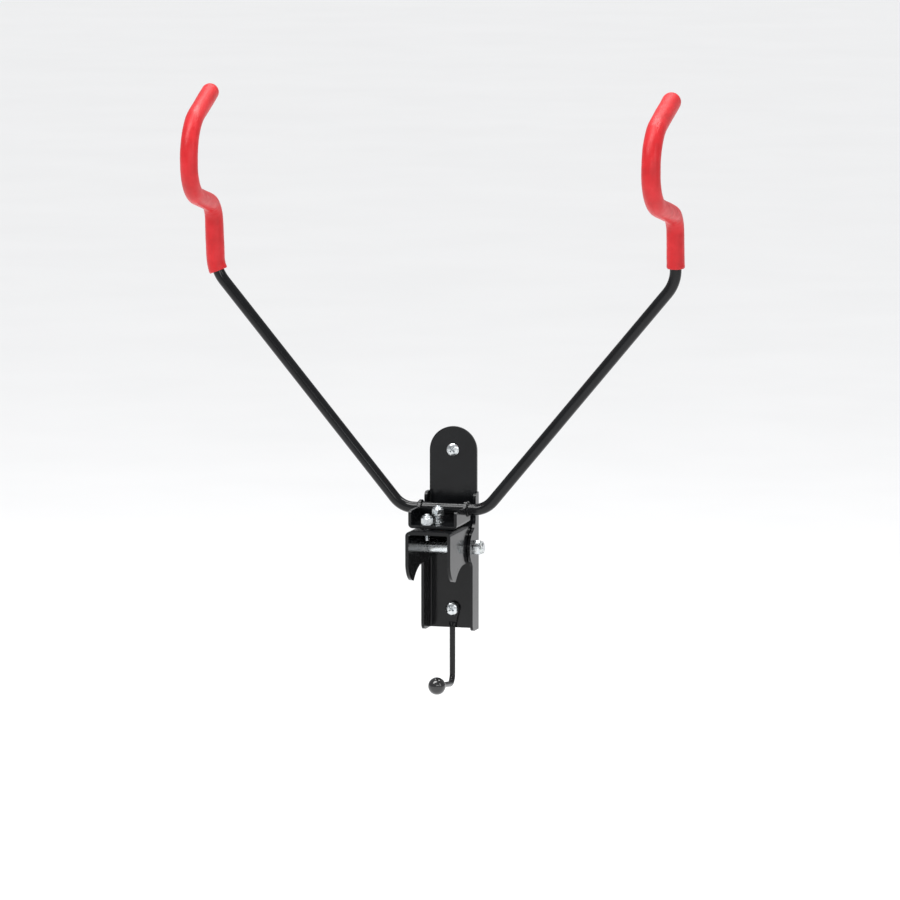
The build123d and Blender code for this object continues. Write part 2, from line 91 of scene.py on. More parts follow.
BAR_RADIUS = 0.005
SLEEVE_RADIUS = 0.00765
PIN_HEIGHT = -0.0135
BAR_DEPTH = 0.033
BAR_HALF_LENGTH = 0.037
BAR_BEND = 0.022
ELBOW_HALF_WIDTH = 0.2036
ELBOW_HEIGHT = 0.2351
ELBOW_BEND = 0.032
NECK_SPREAD, NECK_FORWARD, NECK_RISE, NECK_BEND = 0.0005, 0.0052, 0.0577, 0.0195
CRADLE_REACH, CRADLE_RISE, CRADLE_TOE, CRADLE_SIDE = 0.0763, 0.0166, 0.0026, 0.0554
CRADLE_LOW_BEND, CRADLE_HIGH_BEND = 0.031, 0.038
TIP_RETURN, TIP_RISE, TIP_TOE = 0.0648, 0.025, 0.001
SLEEVE_START = {-1: -0.001, 1: 0.0125}    # past the elbow's middle, by side
SLEEVE_BORE = BAR_RADIUS + 0.00006
SLEEVE_LIP, LIP_PLACE, LIP_WIDTH = 0.00014, 0.0016, 0.0014
SLEEVE_EASE = 0.004           # length over which ripples and noise grow from nothing
SLEEVE_SWELL = {-1: (0.0004, 0.0), 1: (0.0, 0.0005)}    # before and past SWELL_LENGTH, by side
SWELL_LENGTH, SWELL_FADE = 0.045, 0.006
SLEEVE_NOISE = 0.00016
SLEEVE_RIPPLE = 0.00005
RIPPLE_SPACING = 0.0052
SLEEVE_SQUASH = 0.00022
TIGHT_BEND = 50.0             # curvature, per metre, where ripples are at full height

EDGE_BEVEL = 0.00035
WIRE_BEVEL = 0.0003
WASHER_BEVEL = 0.00015
SPRING_BEVEL = 0.00008
BAR_SEGMENTS, SLEEVE_SEGMENTS, BALL_SEGMENTS = 48, 56, 64
RING_SEGMENTS, STUD_SEGMENTS, BOLT_SEGMENTS = 72, 48, 56
HEAD_SEGMENTS = 96            # nuts, the hexagon bolt and the wall screws
BEAD_RIPPLES = 26
BEAD_SEGMENTS = 6 * BEAD_RIPPLES
BAR_STEP, SLEEVE_STEP = 0.0025, 0.001
MERGE_DISTANCE = 0.000005
FLAT_ANGLE, SHARP_ANGLE, BEVEL_ANGLE = math.radians(0.5), math.radians(32), math.radians(40)
TURN = 2 * math.pi

# ---------------------------------------------------------------- materials


def principled(name, **values):
    """A new node material with constants set on the shader's own sockets."""
    mat = bpy.data.materials.new(name)
    mat.use_nodes = True
    shader = mat.node_tree.nodes["Principled BSDF"]
    for socket, value in values.items():
        shader.inputs[socket.replace("_", " ")].default_value = value
    return mat, mat.node_tree, shader


def add_noise(tree, scale, detail=4.0, roughness=0.55, stretch=(1, 1, 1)):
    """Noise in the object's own metres. Returns the factor's socket."""
    coords = tree.nodes.new("ShaderNodeTexCoord")
    mapping = tree.nodes.new("ShaderNodeMapping")
    mapping.inputs["Scale"].default_value = stretch
    field = tree.nodes.new("ShaderNodeTexNoise")
    field.inputs["Scale"].default_value = scale
    field.inputs["Detail"].default_value = detail
    field.inputs["Roughness"].default_value = roughness
    tree.links.new(coords.outputs["Object"], mapping.inputs["Vector"])
    tree.links.new(mapping.outputs["Vector"], field.inputs["Vector"])
    return field.outputs["Fac"]


def ramp(tree, factor, *stops):
    """Colour ramp through (position, colour) stops."""
    node = tree.nodes.new("ShaderNodeValToRGB")
    while len(node.color_ramp.elements) < len(stops):
        node.color_ramp.elements.new(0.5)
    for element, (position, colour) in zip(node.color_ramp.elements, stops):
        element.position = position
        element.color = (*colour, 1.0)
    tree.links.new(factor, node.inputs["Fac"])
    return node.outputs["Color"]


def span(tree, factor, low, high):
    """Maps the middle of a noise factor to low..high."""
    node = tree.nodes.new("ShaderNodeMapRange")
    node.inputs["From Min"].default_value = 0.3
    node.inputs["From Max"].default_value = 0.7
    node.inputs["To Min"].default_value = low
    node.inputs["To Max"].default_value = high
    tree.links.new(factor, node.inputs["Value"])
    return node.outputs["Result"]


def add_bumps(tree, shader, *layers):
    """Chains bump layers, each (factor, strength, distance in metres)."""
    normal = None
    for factor, strength, distance in layers:
        bump = tree.nodes.new("ShaderNodeBump")
        bump.inputs["Strength"].default_value = strength
        bump.inputs["Distance"].default_value = distance
        tree.links.new(factor, bump.inputs["Height"])
        if normal is not None:
            tree.links.new(normal, bump.inputs["Normal"])
        normal = bump.outputs["Normal"]
    tree.links.new(normal, shader.inputs["Normal"])


def powder_coat():
    """Glossy black powder coat with slight orange peel and a few specks."""
    mat, tree, shader = principled("black_powder_coat", IOR=1.34)
    patches = add_noise(tree, 60, 3)
    dust = add_noise(tree, 2600, 2)
    tone = ramp(tree, patches, (0.3, (0.0035, 0.0038, 0.0043)), (0.7, (0.0065, 0.0069, 0.0077)))
    specks = ramp(tree, dust, (0.70, (0.0, 0.0, 0.0)), (0.80, (0.012, 0.012, 0.013)))
    mix = tree.nodes.new("ShaderNodeMix")
    mix.data_type = "RGBA"
    mix.blend_type = "ADD"
    mix.inputs["Factor"].default_value = 1.0
    tree.links.new(tone, mix.inputs["A"])
    tree.links.new(specks, mix.inputs["B"])
    tree.links.new(mix.outputs["Result"], shader.inputs["Base Color"])
    tree.links.new(span(tree, add_noise(tree, 180), 0.10, 0.19), shader.inputs["Roughness"])
    add_bumps(tree, shader, (add_noise(tree, 420, 2), 0.10, 0.00012), (dust, 0.05, 0.00003))
    return mat


def zinc_plate():
    """Bright zinc with cloudy tone and fine tumbled grain."""
    mat, tree, shader = principled("bright_zinc", Metallic=1.0, Anisotropic=0.2)
    cloud = add_noise(tree, 240, 5)
    tone = ramp(tree, cloud, (0.3, (0.50, 0.53, 0.55)), (0.55, (0.61, 0.635, 0.645)),
                (0.75, (0.70, 0.71, 0.68)))
    tree.links.new(tone, shader.inputs["Base Color"])
    tree.links.new(span(tree, add_noise(tree, 500, 4), 0.22, 0.30), shader.inputs["Roughness"])
    grain = add_noise(tree, 1500, 3, 0.6, (0.25, 1, 1))
    add_bumps(tree, shader, (grain, 0.06, 0.000015), (add_noise(tree, 420, 3), 0.03, 0.00003))
    return mat


def red_vinyl():
    """Soft satin vinyl, mottled, with a fine skin."""
    mat, tree, shader = principled(
        "red_vinyl", Sheen_Weight=0.04, Sheen_Roughness=0.5, Subsurface_Weight=0.06,
        Subsurface_Scale=0.002, Specular_IOR_Level=0.34,
    )
    mottle = add_noise(tree, 85, 6)
    tone = ramp(tree, mottle, (0.25, (0.42, 0.006, 0.009)), (0.5, (0.50, 0.008, 0.012)),
                (0.78, (0.57, 0.015, 0.021)))
    tree.links.new(tone, shader.inputs["Base Color"])
    tree.links.new(span(tree, add_noise(tree, 320, 4), 0.34, 0.50), shader.inputs["Roughness"])
    add_bumps(tree, shader, (add_noise(tree, 260, 3), 0.22, 0.0003),
              (add_noise(tree, 2200, 4), 0.22, 0.00008))
    return mat


def gloss_ball():
    """Glossy black moulded plastic."""
    mat, tree, shader = principled("black_gloss_plastic", Coat_Weight=0.4, Coat_Roughness=0.05)
    tone = ramp(tree, add_noise(tree, 150), (0.3, (0.006, 0.006, 0.0065)),
                (0.7, (0.011, 0.011, 0.012)))
    tree.links.new(tone, shader.inputs["Base Color"])
    tree.links.new(span(tree, add_noise(tree, 400), 0.12, 0.22), shader.inputs["Roughness"])
    add_bumps(tree, shader, (add_noise(tree, 900, 2), 0.06, 0.0001))
    return mat


def natural_nylon():
    """Off-white nylon."""
    mat, tree, shader = principled("natural_nylon", Subsurface_Weight=0.15, Subsurface_Scale=0.001)
    tone = ramp(tree, add_noise(tree, 300), (0.3, (0.62, 0.60, 0.54)), (0.7, (0.74, 0.73, 0.68)))
    tree.links.new(tone, shader.inputs["Base Color"])
    tree.links.new(span(tree, add_noise(tree, 800), 0.38, 0.55), shader.inputs["Roughness"])
    add_bumps(tree, shader, (add_noise(tree, 1600, 3), 0.15, 0.00006))
    return mat


def studio_floor():
    """Plain pale floor."""
    mat, tree, shader = principled("studio_floor")
    tone = ramp(tree, add_noise(tree, 3), (0.3, (0.86, 0.86, 0.86)), (0.7, (0.88, 0.88, 0.88)))
    tree.links.new(tone, shader.inputs["Base Color"])
    tree.links.new(span(tree, add_noise(tree, 9), 0.75, 0.85), shader.inputs["Roughness"])
    return mat


MATERIALS = {
    "black_coat": powder_coat(),
    "zinc": zinc_plate(),
    "red_vinyl": red_vinyl(),
    "black_ball": gloss_ball(),
    "nylon": natural_nylon(),
}

SLOT_OF = {part["node"]: part["material_slot"] for part in frame["record"]["subparts"]}
BODY_OF = {
    node: body for body, nodes in frame["record"]["behaviour"]["bodies"].items() for node in nodes
}
for node, cad_object in frame["nodes"].items():
    cad_object.data.materials.clear()
    cad_object.data.materials.append(MATERIALS[SLOT_OF[node]])

# ---------------------------------------------------------------- mesh helpers


def finish_piece(name, mesh, body, slot, *nodes):
    """Makes the piece, gives it the slot's material and a body, and hides the CAD nodes it stands
    for.
    """
    piece = bpy.data.objects.new(name, mesh)
    bpy.context.scene.collection.objects.link(piece)
    mesh.materials.clear()
    mesh.materials.append(MATERIALS[slot])
    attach(piece, body)
    if nodes:
        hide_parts(*nodes)


def refined_copy(node, width=EDGE_BEVEL):
    """The CAD node's shape with its hard edges broken, as formed and coated sheet has them."""
    work = bmesh.new()
    work.from_mesh(frame["nodes"][node].data)
    bmesh.ops.remove_doubles(work, verts=work.verts, dist=MERGE_DISTANCE)
    bmesh.ops.dissolve_limit(work, angle_limit=FLAT_ANGLE, verts=work.verts, edges=work.edges)
    mesh = bpy.data.meshes.new(node + "_work")
    work.to_mesh(mesh)
    work.free()
    mesh.shade_smooth()
    holder = bpy.data.objects.new(node + "_work", mesh)
    bpy.context.scene.collection.objects.link(holder)
    bevel = holder.modifiers.new("bevel", "BEVEL")
    bevel.width = width
    bevel.segments = 3
    bevel.limit_method = "ANGLE"
    bevel.angle_limit = BEVEL_ANGLE
    bevel.harden_normals = True
    bevel.use_clamp_overlap = True
    flatten = holder.modifiers.new("flatten", "WEIGHTED_NORMAL")
    flatten.keep_sharp = True
    flatten.weight = 100
    bpy.context.view_layer.update()
    result = bpy.data.meshes.new_from_object(
        holder.evaluated_get(bpy.context.evaluated_depsgraph_get())
    )
    bpy.data.objects.remove(holder)
    finish_piece(node + "_body", result, BODY_OF[node], SLOT_OF[node], node)


def frame_across(direction):
    """Two unit vectors square to a direction."""
    across = direction.orthogonal().normalized()
    return across, direction.cross(across).normalized()


def mesh_from_rings(name, rings, closed=False):
    """Skins rings of equal length. Open ends are capped with a fan to their middle."""
    verts, faces = [], []
    count = len(rings[0])
    for ring in rings:
        verts.extend(ring)
    pairs = list(zip(range(len(rings) - 1), range(1, len(rings))))
    if closed:
        pairs.append((len(rings) - 1, 0))
    for a, b in pairs:
        for i in range(count):
            j = (i + 1) % count
            faces.append((a * count + i, a * count + j, b * count + j, b * count + i))
    if not closed:
        for index, flip in ((0, True), (len(rings) - 1, False)):
            centre = len(verts)
            verts.append(sum(rings[index], Vector()) / count)
            for i in range(count):
                j = (i + 1) % count
                a, b = index * count + i, index * count + j
                faces.append((b, a, centre) if flip else (a, b, centre))
    mesh = bpy.data.meshes.new(name)
    mesh.from_pydata(verts, [], faces)
    work = bmesh.new()
    work.from_mesh(mesh)
    bmesh.ops.recalc_face_normals(work, faces=work.faces)
    work.to_mesh(mesh)
    work.free()
    mesh.shade_smooth()
    mesh.set_sharp_from_angle(angle=SHARP_ANGLE)
    return mesh


def lathe(name, origin, axis, profile, segments, closed=True):
    """Turns profile(angle), a list of (radius, height), about an axis. Closed joins its ends."""
    axis = axis.normalized()
    u, v = frame_across(axis)
    columns = [profile(TURN * i / segments) for i in range(segments)]
    rings = []
    for row in range(len(columns[0])):
        ring = []
        for i, column in enumerate(columns):
            angle = TURN * i / segments
            radius, height = column[row]
            out = u * math.cos(angle) + v * math.sin(angle)
            ring.append(origin + out * radius + axis * height)
        rings.append(ring)
    return mesh_from_rings(name, rings, closed)


def joined(name, *meshes):
    """Several meshes as one."""
    work = bmesh.new()
    for mesh in meshes:
        work.from_mesh(mesh)
        bpy.data.meshes.remove(mesh)
    mesh = bpy.data.meshes.new(name)
    work.to_mesh(mesh)
    work.free()
    return mesh


def thread_rows(radius, start, end, pitch, depth):
    """Profile function's rows for a helical thread between two heights."""
    steps = max(8, int((end - start) / pitch * 8))

    def rows(angle):
        out = []
        for i in range(steps + 1):
            height = start + (end - start) * i / steps
            phase = (height / pitch - angle / TURN) % 1.0
            crest = 1 - abs(2 * phase - 1)
            cut = depth * (1 - min(1.0, 1.6 * crest))
            ends = min(1.0, (height - start) / pitch + 0.05, (end - height) / pitch + 0.05)
            out.append((radius - cut * max(0.0, ends), height))
        return out

    return rows


# ---------------------------------------------------------------- sheet-metal and wire pieces

for sheet_node in ("wall_plate", "fold_bracket", "swivel_tray"):
    refined_copy(sheet_node)
for round_node in ("accessory_hook", "pivot_sleeve"):
    refined_copy(round_node, WIRE_BEVEL)
for thin_node in ("thrust_washers", "friction_disc", "swivel_washers", "lock_washer"):
    refined_copy(thin_node, WASHER_BEVEL)
refined_copy("swivel_spring", SPRING_BEVEL)

# ---------------------------------------------------------------- arm bar and sleeves

low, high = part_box("rod_welds")
BAR_HEIGHT = (low.z + high.z) / 2


def arm_corners(side):
    """Corners from the centre bar out to the hook's tip."""
    neck_x = ELBOW_HALF_WIDTH + NECK_SPREAD
    neck_y, neck_z = BAR_DEPTH + NECK_FORWARD, ELBOW_HEIGHT + NECK_RISE
    cradle_x, cradle_y = neck_x - CRADLE_TOE, neck_y + CRADLE_REACH
    cradle_z = neck_z + CRADLE_RISE
    corners = [
        (BAR_HALF_LENGTH, BAR_DEPTH, BAR_HEIGHT - PIN_HEIGHT),
        (ELBOW_HALF_WIDTH, BAR_DEPTH, ELBOW_HEIGHT),
        (neck_x, neck_y, neck_z),
        (cradle_x, cradle_y, cradle_z),
        (cradle_x, cradle_y, cradle_z + CRADLE_SIDE),
        (neck_x - TIP_TOE, cradle_y - TIP_RETURN, cradle_z + CRADLE_SIDE + TIP_RISE),
    ]
    return [Vector((side * x, -y, PIN_HEIGHT + z)) for x, y, z in corners]


ARM_BENDS = [ELBOW_BEND, NECK_BEND, CRADLE_LOW_BEND, CRADLE_HIGH_BEND]


def rounded_line(corners, bends, step):
    """Points about one step apart along straight runs joined by round bends."""
    points, last = [corners[0]], corners[0]
    for i, bend in enumerate(bends, start=1):
        before = (corners[i] - corners[i - 1]).normalized()
        after = (corners[i + 1] - corners[i]).normalized()
        turn = before.angle(after)
        reach = bend * math.tan(turn / 2)
        enter = corners[i] - before * reach
        pole = before.cross(after).normalized()
        centre = enter + pole.cross(before) * bend
        runs = max(1, round((enter - last).length / step))
        points += [last.lerp(enter, k / runs) for k in range(1, runs + 1)]
        arcs = max(4, round(bend * turn / step))
        for k in range(1, arcs + 1):
            points.append(centre + Quaternion(pole, turn * k / arcs) @ (enter - centre))
        last = points[-1]
    runs = max(1, round((corners[-1] - last).length / step))
    points += [last.lerp(corners[-1], k / runs) for k in range(1, runs + 1)]
    return points


def carried_frames(points):
    """Tangent and two cross vectors at each point, carried along without twist."""
    frames, across = [], None
    for i, point in enumerate(points):
        ahead = points[min(i + 1, len(points) - 1)] - points[max(i - 1, 0)]
        tangent = ahead.normalized()
        across = frame_across(tangent)[0] if across is None else across
        across = (across - tangent * across.dot(tangent)).normalized()
        frames.append((point, tangent, across, tangent.cross(across)))
    return frames


def ring_at(place, radius, segments, ripple=None):
    """One ring round a frame. ripple(point, outward direction) adds to its radius."""
    point, _, across, up = place
    ring = []
    for i in range(segments):
        angle = TURN * i / segments
        out = across * math.cos(angle) + up * math.sin(angle)
        ring.append(point + out * (radius + (ripple(point, out) if ripple else 0.0)))
    return ring


left, right = arm_corners(-1), arm_corners(1)
bar_points = rounded_line(
    [*reversed(left), *right], [*reversed(ARM_BENDS), BAR_BEND, BAR_BEND, *ARM_BENDS], BAR_STEP
)
bar_rings = [ring_at(place, BAR_RADIUS, BAR_SEGMENTS) for place in carried_frames(bar_points)]
finish_piece("arm_bar", mesh_from_rings("arm_bar", bar_rings), "arms", "black_coat", "arm_rod")


def after_length(points, start):
    """The line's points past a length along it, beginning exactly there."""
    run = 0.0
    for i in range(len(points) - 1):
        piece = (points[i + 1] - points[i]).length
        if run + piece > start:
            return [points[i].lerp(points[i + 1], (start - run) / piece), *points[i + 1:]]
        run += piece
    return points


def bend_normals(points):
    """For each point, the vector towards the bend's centre, as long as the curvature."""
    out = []
    for i in range(len(points)):
        a, b, c = points[max(i - 4, 0)], points[i], points[min(i + 4, len(points) - 1)]
        gap = max((c - a).length / 2, 1e-6)
        out.append((a + c - 2 * b) / (gap * gap))
    return out


def sleeve(side, name, node):
    """A soft sleeve pushed over one hook: bore, square-cut end, outside and closed tip."""
    corners = arm_corners(side)
    turn = (corners[1] - corners[0]).angle(corners[2] - corners[1])
    lead = (corners[1] - corners[0]).length
    middle = lead - ELBOW_BEND * math.tan(turn / 2) + ELBOW_BEND * turn / 2
    line = rounded_line(corners, ARM_BENDS, SLEEVE_STEP)
    line = after_length(line, middle + SLEEVE_START[side])
    places, bends = carried_frames(line), bend_normals(line)
    seed = Vector((side * 3.1, 1.7, 0.4))
    low_swell, high_swell = SLEEVE_SWELL[side]
    tip_radius = SLEEVE_RADIUS + high_swell
    rings = []
    for place in reversed(places[::4]):
        rings.append(ring_at(place, SLEEVE_BORE, SLEEVE_SEGMENTS))
    # square-cut end with a soft lip
    first = places[0]
    rings.append(ring_at(first, SLEEVE_BORE + 0.0002, SLEEVE_SEGMENTS))
    rings.append(ring_at(first, SLEEVE_RADIUS + low_swell - 0.0009, SLEEVE_SEGMENTS))
    rings.append(ring_at(first, SLEEVE_RADIUS + low_swell - 0.0003, SLEEVE_SEGMENTS))
    run = 0.0
    for index in range(1, len(places)):
        run += (line[index] - line[index - 1]).length
        pull = bends[index]
        lip = SLEEVE_LIP * math.exp(-((run - LIP_PLACE) / LIP_WIDTH) ** 2)
        ease = min(1.0, run / SLEEVE_EASE)
        share = 1 / (1 + math.exp((run - SWELL_LENGTH) / SWELL_FADE))
        lip += low_swell * share + high_swell * (1 - share)

        def ripple(point, out, pull=pull, run=run, lip=lip, ease=ease):
            inner = max(0.0, out.dot(pull)) / TIGHT_BEND
            folds = SLEEVE_RIPPLE * inner * math.sin(TURN * run / RIPPLE_SPACING)
            squash = -SLEEVE_SQUASH * abs(out.dot(pull)) / TIGHT_BEND
            wander = SLEEVE_NOISE * noise.noise(point * 70 + out * 1.2 + seed)
            fine = SLEEVE_NOISE * 0.35 * noise.noise(point * 260 + out * 3.0 + seed)
            return lip + ease * (folds + squash + wander + fine)

        rings.append(ring_at(places[index], SLEEVE_RADIUS, SLEEVE_SEGMENTS, ripple))
    # rounded closed tip
    point, tangent, across, up = places[-1]
    for k in range(1, 15):
        angle = math.pi / 2 * k / 15
        place = (point + tangent * tip_radius * math.sin(angle), tangent, across, up)
        rings.append(ring_at(place, tip_radius * math.cos(angle), SLEEVE_SEGMENTS))
    finish_piece(name, mesh_from_rings(name, rings), "arms", "red_vinyl", node)


sleeve(-1, "left_soft_sleeve", "left_sleeve")
sleeve(1, "right_soft_sleeve", "right_sleeve")

# ---------------------------------------------------------------- weld beads


def weld_profile(side):
    """Section of a rippled fillet weld between the bar and one of the tray's ears."""
    def rows(angle):
        dimes = 0.00022 * math.sin(angle * BEAD_RIPPLES) + 0.00012 * noise.noise(
            Vector((math.cos(angle), math.sin(angle), side)) * 2.3
        )
        size = WELD_SIZE * 0.93 + dimes
        out = [(BAR_RADIUS - 0.0003, -0.0003)]
        for k in range(9):
            across = math.pi / 2 * k / 8
            bulge = 0.8 + 0.2 * math.sin(2 * across)
            out.append((
                BAR_RADIUS + size * math.cos(across) * bulge,
                size * math.sin(across) * bulge,
            ))
        out.append((BAR_RADIUS - 0.0003, size))
        return out

    return rows


low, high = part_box("swivel_tray")
bar_axis = Vector((0, -BAR_DEPTH, BAR_HEIGHT))
beads = [
    lathe("bead", bar_axis + Vector((edge, 0, 0)), Vector((side, 0, 0)), weld_profile(side),
          BEAD_SEGMENTS)
    for side, edge in ((-1, low.x), (1, high.x))
]
finish_piece("weld_beads", joined("weld_beads", *beads), "arms", "black_coat", "rod_welds")

# ---------------------------------------------------------------- nuts and bolts


def hexagon(flats, angle):
    """Radius of a hexagon at an angle."""
    return flats / 2 / math.cos((angle % (TURN / 6)) - TURN / 12)


def hexagon_chamfer(flats, radius):
    """How far a 30 degree chamfer has cut a hexagon's end back at a radius."""
    return max(0.0, radius - flats / 2 * 0.985) * math.tan(math.radians(30))


def nut_profile(flats, height, collar, bore, inset):
    """Chamfered hexagon with a round collar on top, hollow down to the bore."""
    body = height - collar

    def rows(angle):
        corner = hexagon(flats, angle) - CORNER_INSET
        cut = hexagon_chamfer(flats, corner)
        face = flats / 2 * 0.94
        rim = flats / 2 - 0.0006
        return [
            (bore, 0.0), (face, 0.0), (corner, 0.0001 + cut), (corner, body - 0.0001 - cut),
            (face, body), (rim + 0.0003, body), (rim, body + 0.0003),
            (rim, height - 0.0007), (rim - 0.00015, height - 0.0003), (rim - 0.0005, height),
            (rim - 0.0009, height), (rim - 0.0011, height - 0.00025),
            (bore + inset, height - 0.0005), (bore + inset, height - 0.0012),
            (bore, height - 0.0014),
        ]

    return rows


def insert_profile(height, bore, inset):
    """Nylon ring inside a lock nut's collar."""
    def rows(_):
        low_edge, top = height - 0.0013, height - 0.0005
        return [
            (bore, low_edge), (bore + inset, low_edge), (bore + inset, top - 0.0001),
            (bore + inset - 0.0002, top), (bore + 0.0002, top), (bore, top - 0.0002),
        ]

    return rows


def lock_nut_piece(node, axis, bore):
    """A chamfered lock nut where the CAD node is, with its nylon ring."""
    lowest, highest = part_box(node)
    middle = (lowest + highest) / 2
    along = max(range(3), key=lambda k: abs(axis[k]))
    height = highest[along] - lowest[along]
    flats = min(highest[k] - lowest[k] for k in range(3) if k != along)
    origin = middle - axis * height / 2
    inset = flats * 0.12
    mesh = lathe(node, origin, axis, nut_profile(flats, height, height / 4, bore, inset),
                 HEAD_SEGMENTS)
    finish_piece(node + "_hexagon", mesh, BODY_OF[node], "zinc", node)
    ring = lathe(node, origin, axis, insert_profile(height, bore, inset), RING_SEGMENTS)
    finish_piece(node + "_ring", ring, BODY_OF[node], "nylon")


UP, RIGHTWARD, INWARD = Vector((0, 0, 1)), Vector((1, 0, 0)), Vector((0, 1, 0))
lock_nut_piece("pivot_nut", RIGHTWARD, PIN_RADIUS + BORE_GAP)
lock_nut_piece("swivel_nut", UP, SWIVEL_RADIUS + BORE_GAP)
lock_nut_piece("lock_nut", UP, LOCK_RADIUS + BORE_GAP)


def end_rows(radius, height, up=True):
    """Chamfered, slightly dished end of a bolt, closing on its axis."""
    sign = 1 if up else -1
    rows = [
        (radius - BOLT_CHAMFER, height), (radius * 0.55, height - sign * 0.00008),
        (radius * 0.15, height - sign * 0.00012),
    ]
    return rows if up else rows[::-1]


def stud_profile(radius, length, pitch, start):
    """Rod with a plain foot, a thread from start to near its top and chamfered ends."""
    thread = thread_rows(radius - THREAD_INSET, start, length - BOLT_CHAMFER, pitch, 0.55 * pitch)

    def rows(angle):
        return [
            *end_rows(radius, 0.0, up=False), (radius - THREAD_INSET, 0.0004),
            *thread(angle), *end_rows(radius, length),
        ]

    return rows


low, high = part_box("lock_stud")
lock_axis = Vector(((low.x + high.x) / 2, (low.y + high.y) / 2, low.z))
lock_rows = stud_profile(LOCK_RADIUS, high.z - low.z, LOCK_PITCH, start=0.001)
mesh = lathe("lock_stud", lock_axis, UP, lock_rows, STUD_SEGMENTS, closed=False)
finish_piece("lock_stud_thread", mesh, "fold", "zinc", "lock_stud")

low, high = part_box("swivel_bolt")
web_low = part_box("fold_bracket")[1].z - BRACKET_THICKNESS
head_height = web_low - low.z
head_radius = (high.x - low.x) / 2


def swivel_bolt_rows(angle):
    """Low domed head below, plain shank and threaded end."""
    rows = []
    for k in range(1, 9):
        across = math.pi / 2 * k / 8
        rows.append((head_radius * math.sin(across) ** 0.8, head_height * (1 - math.cos(across))))
    rows += [(head_radius, head_height), (SWIVEL_RADIUS, head_height)]
    top = high.z - low.z
    thread = thread_rows(SWIVEL_RADIUS - THREAD_INSET, top - SWIVEL_THREAD_LENGTH,
                         top - BOLT_CHAMFER, SWIVEL_PITCH, SWIVEL_THREAD_DEPTH)
    return rows + thread(angle) + end_rows(SWIVEL_RADIUS, top)


swivel_axis = Vector(((low.x + high.x) / 2, (low.y + high.y) / 2, low.z))
mesh = lathe("swivel_bolt", swivel_axis, UP, swivel_bolt_rows, BOLT_SEGMENTS, closed=False)
finish_piece("swivel_bolt_thread", mesh, "fold", "zinc", "swivel_bolt")

low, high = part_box("pivot_bolt")
pin_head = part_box("wall_plate")[0].x - low.x
pin_flats = min(high.y - low.y, high.z - low.z)


def pivot_bolt_rows(angle):
    """Hexagon head on the left, plain shank and threaded end on the right."""
    corner = hexagon(pin_flats, angle) - CORNER_INSET
    cut = hexagon_chamfer(pin_flats, corner)
    length = high.x - low.x
    rows = [
        (0.0006, 0.0004), (pin_flats * 0.30, 0.0004), (pin_flats * 0.34, 0.0),
        (pin_flats * 0.46, 0.0), (corner, 0.0001 + cut), (corner, pin_head - 0.0003),
        (pin_flats * 0.47, pin_head), (PIN_RADIUS, pin_head),
        (PIN_RADIUS, length - PIN_THREAD_LENGTH - 0.0005),
    ]
    thread = thread_rows(PIN_RADIUS - THREAD_INSET, length - PIN_THREAD_LENGTH,
                         length - BOLT_CHAMFER, PIN_PITCH, PIN_THREAD_DEPTH)
    return rows + thread(angle) + end_rows(PIN_RADIUS, length)


pin_origin = Vector((low.x, (low.y + high.y) / 2, (low.z + high.z) / 2))
mesh = lathe("pivot_bolt", pin_origin, RIGHTWARD, pivot_bolt_rows, HEAD_SEGMENTS, closed=False)
finish_piece("pivot_bolt_thread", mesh, "wall", "zinc", "pivot_bolt")

# ---------------------------------------------------------------- wall screws


def recess_edge(angle):
    """Radius of the cross recess's outline at an angle."""
    fold = angle % (TURN / 4)
    fold = min(fold, TURN / 4 - fold)
    return min(
        RECESS_HALF_SPAN / math.cos(fold), RECESS_HALF_WIDTH / max(math.sin(fold), 1e-6)
    )


def wall_screw_rows(seat):
    """Rows for a pan-head screw. Heights run from the head's top, at 0, into the wall."""
    thread_start = SCREW_HEAD_HEIGHT + seat + SCREW_NECK_END
    tip = SCREW_HEAD_HEIGHT + SCREW_LENGTH

    def dome(radius):
        """Depth of the domed head's surface below its top."""
        share = min(1.0, radius / SCREW_HEAD_RADIUS)
        return SCREW_HEAD_HEIGHT * 0.62 * (1 - math.sqrt(1 - 0.94 * share ** 2.6))

    def rows(angle):
        edge = recess_edge(angle)
        out = [
            (0.00005, RECESS_DEPTH), (edge * 0.35, RECESS_DEPTH - 0.0002),
            (edge * 0.82, RECESS_DEPTH * 0.75), (edge * 0.97, dome(edge) + 0.00025),
            (edge * 1.04, dome(edge)),
        ]
        reach = edge * 1.04
        for k in range(1, 9):
            radius = reach + (SCREW_HEAD_RADIUS - reach) * k / 8
            out.append((radius, dome(radius)))
        out += [
            (SCREW_HEAD_RADIUS, SCREW_HEAD_HEIGHT - 0.0003),
            (SCREW_HEAD_RADIUS - 0.0003, SCREW_HEAD_HEIGHT),
            (SCREW_NECK_RADIUS, SCREW_HEAD_HEIGHT), (SCREW_NECK_RADIUS - 0.0003, thread_start),
        ]
        steps = int((tip - thread_start) / SCREW_PITCH * 10)
        for k in range(1, steps):
            height = thread_start + (tip - thread_start) * k / steps
            taper = min(1.0, (tip - height) / SCREW_TIP * 0.95 + 0.05)
            phase = (height / SCREW_PITCH - angle / TURN) % 1.0
            crest = max(0.0, 1 - abs(2 * phase - 1) * 2.2)
            core = 0.66 + 0.34 * crest * min(1.0, (height - thread_start) / SCREW_PITCH)
            out.append((SCREW_THREAD_RADIUS * core * taper, height))
        return out + [(0.00008, tip - 0.0001)]

    return rows


